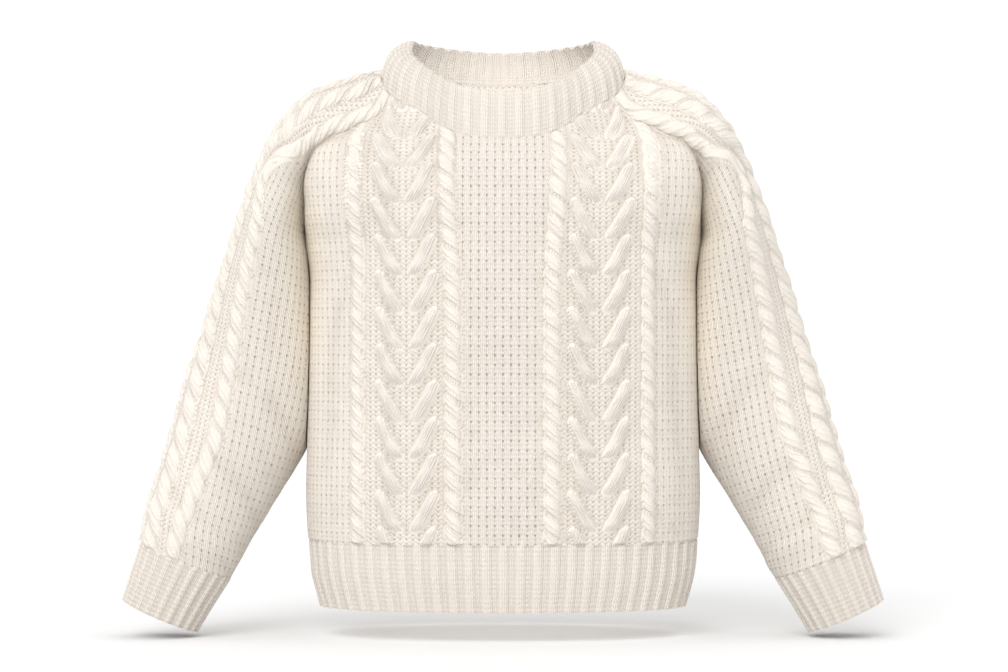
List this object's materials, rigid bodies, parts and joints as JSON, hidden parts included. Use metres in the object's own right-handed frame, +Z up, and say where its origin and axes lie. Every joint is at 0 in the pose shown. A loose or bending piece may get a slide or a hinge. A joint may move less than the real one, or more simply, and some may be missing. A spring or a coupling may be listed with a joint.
{
  "type": "cable knit sweater",
  "caption": "Long-sleeved raglan pullover in thick cream cable knit, filled out as worn but empty, with a ribbed funnel neckband, ribbed hem and ribbed cuffs",
  "frame": {"origin": "On the centre plane inside the yoke, level with the points of the shoulders that carry the garment", "axes": "+Z is up, the front of the garment faces -Y, and the wearer's left sleeve is on +X"},
  "size_m": [0.782, 0.2509, 0.6134],
  "materials": {
    "knit_body": "matte cream wool, cable and moss stitch",
    "knit_sleeve": "matte cream wool, cable and moss stitch",
    "knit_rib": "matte cream wool, two by two rib"
  },
  "bodies": {
    "root": {"body_front": "knit_body", "body_back": "knit_body", "hem_front": "knit_rib", "hem_back": "knit_rib", "sleeve_left": "knit_sleeve", "sleeve_right": "knit_sleeve", "cuff_left": "knit_rib", "cuff_right": "knit_rib", "neckband": "knit_rib"}
  },
  "joints": []
}
